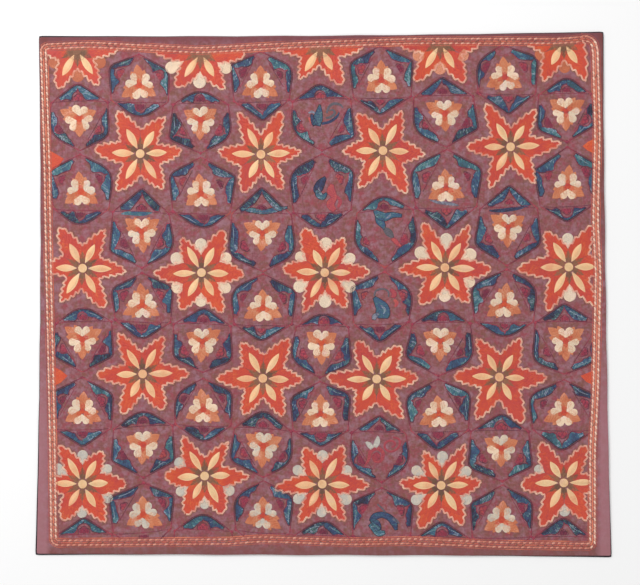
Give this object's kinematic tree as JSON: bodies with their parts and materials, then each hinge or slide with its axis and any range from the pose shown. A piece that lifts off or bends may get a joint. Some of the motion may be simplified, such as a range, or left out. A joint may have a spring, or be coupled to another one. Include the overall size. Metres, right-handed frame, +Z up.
{
  "type": "suzani embroidered textile",
  "caption": "Nearly square embroidered cloth lying flat: six-petalled stars in a lattice of hexagons and triangles with a narrow stitched border, on a dark lining.",
  "frame": {"origin": "under the middle of the cloth, on the surface it lies on", "axes": "+X along the foot of the pattern, +Y from foot to head, +Z up from the face"},
  "size_m": [0.9216, 0.8408, 0.0034],
  "materials": {
    "ground_cloth": "plum-mauve plain weave, matt",
    "lining": "near-black plum cotton, matt",
    "red_silk": "vermilion silk stitches, soft sheen",
    "pink_silk": "pale pink silk chain stitch, soft sheen",
    "gold_silk": "straw-gold silk satin stitch, soft sheen",
    "cream_silk": "cream silk satin stitch, soft sheen",
    "orange_silk": "orange silk stitches, soft sheen",
    "blue_silk": "navy, blue and teal silk stitches, soft sheen",
    "claret_silk": "claret silk stitches, soft sheen",
    "olive_silk": "olive-brown silk stitches, soft sheen"
  },
  "bodies": {
    "root": {"ground_cloth": "ground_cloth", "lining": "lining"}
  },
  "joints": []
}
